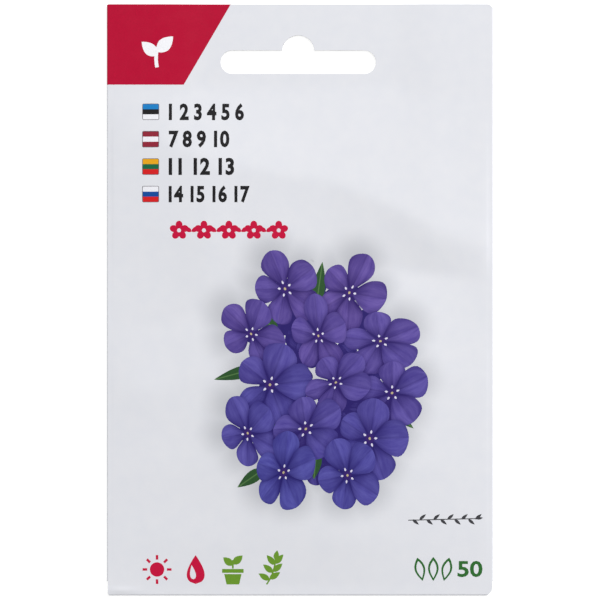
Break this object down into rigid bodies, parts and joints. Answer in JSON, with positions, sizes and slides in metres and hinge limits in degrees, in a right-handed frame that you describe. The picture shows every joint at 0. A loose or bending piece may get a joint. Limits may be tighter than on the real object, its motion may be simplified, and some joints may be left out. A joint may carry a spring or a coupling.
{
  "type": "seed packet",
  "caption": "Flat paper seed packet with a hang slot in its glued header, a printed front, and a sealed sachet of coated seeds inside.",
  "frame": {"origin": "under the middle of the packet's outline, on the plane that its back rests on", "axes": "+X to the right as the printed front is seen, +Y to the top edge with the hang slot, +Z out of the printed front"},
  "size_m": [0.08, 0.1226, 0.0022],
  "materials": {
    "printed_paper": "satin white laminated paper, printed on the front",
    "paper_glue": "set line of glue",
    "sachet_film": "thin clear film",
    "seed_coating": "dry seed coating"
  },
  "bodies": {
    "root": {"packet_paper": "printed_paper", "header_glue": "paper_glue", "left_seam_glue": "paper_glue", "right_seam_glue": "paper_glue", "sachet_back_film": "sachet_film", "sachet_front_film": "sachet_film", "seed_01": "seed_coating", "seed_02": "seed_coating", "seed_03": "seed_coating", "seed_04": "seed_coating", "seed_05": "seed_coating", "seed_06": "seed_coating", "seed_07": "seed_coating", "seed_08": "seed_coating", "seed_09": "seed_coating", "seed_10": "seed_coating", "seed_11": "seed_coating", "seed_12": "seed_coating", "seed_13": "seed_coating", "seed_14": "seed_coating", "seed_15": "seed_coating", "seed_16": "seed_coating", "seed_17": "seed_coating", "seed_18": "seed_coating", "seed_19": "seed_coating", "seed_20": "seed_coating", "seed_21": "seed_coating", "seed_22": "seed_coating", "seed_23": "seed_coating", "seed_24": "seed_coating", "seed_25": "seed_coating", "seed_26": "seed_coating", "seed_27": "seed_coating", "seed_28": "seed_coating", "seed_29": "seed_coating", "seed_30": "seed_coating", "seed_31": "seed_coating", "seed_32": "seed_coating", "seed_33": "seed_coating", "seed_34": "seed_coating", "seed_35": "seed_coating", "seed_36": "seed_coating", "seed_37": "seed_coating", "seed_38": "seed_coating", "seed_39": "seed_coating", "seed_40": "seed_coating", "seed_41": "seed_coating", "seed_42": "seed_coating", "seed_43": "seed_coating", "seed_44": "seed_coating", "seed_45": "seed_coating", "seed_46": "seed_coating", "seed_47": "seed_coating", "seed_48": "seed_coating", "seed_49": "seed_coating", "seed_50": "seed_coating"}
  },
  "joints": []
}
